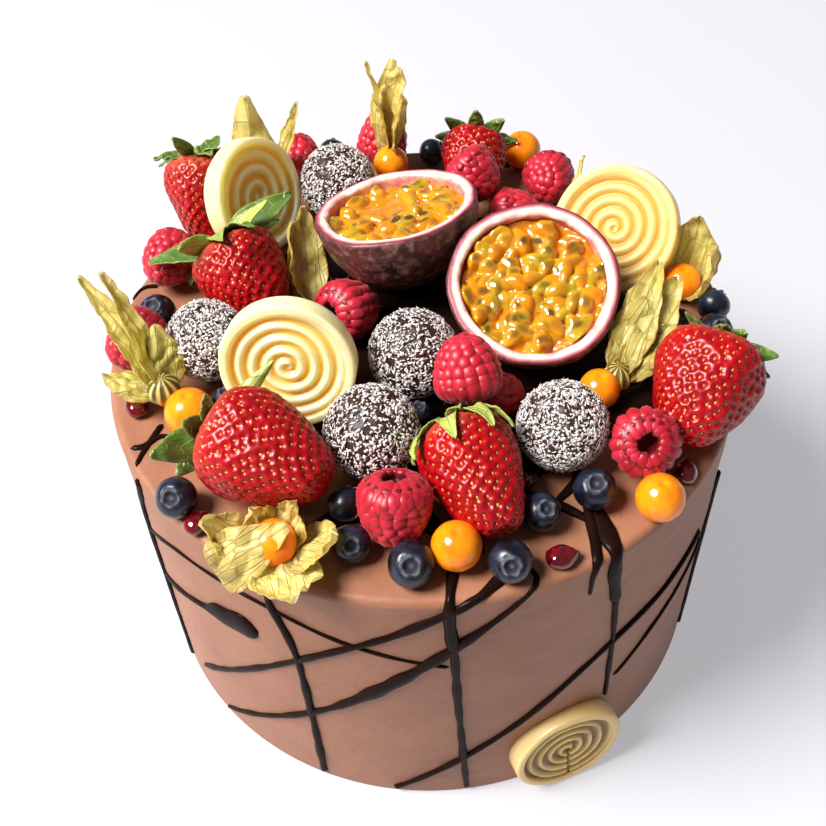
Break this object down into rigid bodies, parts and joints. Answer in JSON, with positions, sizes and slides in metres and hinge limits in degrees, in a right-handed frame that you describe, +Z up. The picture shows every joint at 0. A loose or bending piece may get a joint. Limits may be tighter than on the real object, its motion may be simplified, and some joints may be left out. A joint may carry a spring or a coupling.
{
  "type": "chocolate fruit cake",
  "caption": "Tall round chocolate iced cake with dark chocolate drizzle, topped with fresh fruit, coconut truffles and white chocolate discs.",
  "frame": {"origin": "centre of the cake's flat base, on the surface it stands on", "axes": "+Z up through the cake, -Y to the side seen in front in the picture, +X to its right"},
  "size_m": [0.2027, 0.2056, 0.1727],
  "materials": {
    "icing": "smooth satin",
    "white_chocolate": "satin",
    "coconut": "rough",
    "strawberry": "glossy",
    "raspberry": "satin",
    "blueberry": "satin with bloom",
    "physalis": "glossy",
    "husk": "papery",
    "rind": "satin",
    "pulp": "wet gloss"
  },
  "bodies": {
    "root": {"cake_body": "icing", "disc_back": "white_chocolate", "disc_centre": "white_chocolate", "disc_right": "white_chocolate", "disc_front": "white_chocolate", "truffle_back": "coconut", "truffle_left": "coconut", "truffle_middle": "coconut", "truffle_front": "coconut", "truffle_right": "coconut", "strawberry_front": "strawberry", "strawberry_middle": "strawberry", "strawberry_right": "strawberry", "strawberry_left": "strawberry", "strawberry_rear_left": "strawberry", "strawberry_rear": "strawberry", "passion_left_rind": "rind", "passion_left_pulp": "pulp", "passion_right_rind": "rind", "passion_right_pulp": "pulp", "raspberry_centre": "raspberry", "raspberry_stacked": "raspberry", "raspberry_front": "raspberry", "raspberry_right": "raspberry", "raspberry_rear_middle": "raspberry", "raspberry_rear_right": "raspberry", "raspberry_rear_low": "raspberry", "raspberry_left": "raspberry", "raspberry_edge_left": "raspberry", "raspberry_rear_left": "raspberry", "raspberry_rear_husk": "raspberry", "raspberry_middle_low": "raspberry", "blueberry_rear_left": "blueberry", "blueberry_rear": "blueberry", "blueberry_left": "blueberry", "blueberry_left_inner": "blueberry", "blueberry_front_left": "blueberry", "blueberry_front_inner": "blueberry", "blueberry_front_low": "blueberry", "blueberry_front_middle": "blueberry", "blueberry_front_right": "blueberry", "blueberry_front_upper": "blueberry", "blueberry_right_inner": "blueberry", "blueberry_right_rear": "blueberry", "blueberry_right_edge": "blueberry", "blueberry_right_dark": "blueberry", "blueberry_middle_dark": "blueberry", "physalis_rear_husk": "physalis", "physalis_rear": "physalis", "physalis_left_husk": "physalis", "physalis_front_husk": "physalis", "physalis_front": "physalis", "physalis_right": "physalis", "physalis_right_husk": "physalis", "physalis_right_rear": "physalis", "husk_rear_left": "husk", "husk_middle": "husk", "husk_rear_right": "husk", "physalis_rear_left": "physalis"}
  },
  "joints": []
}
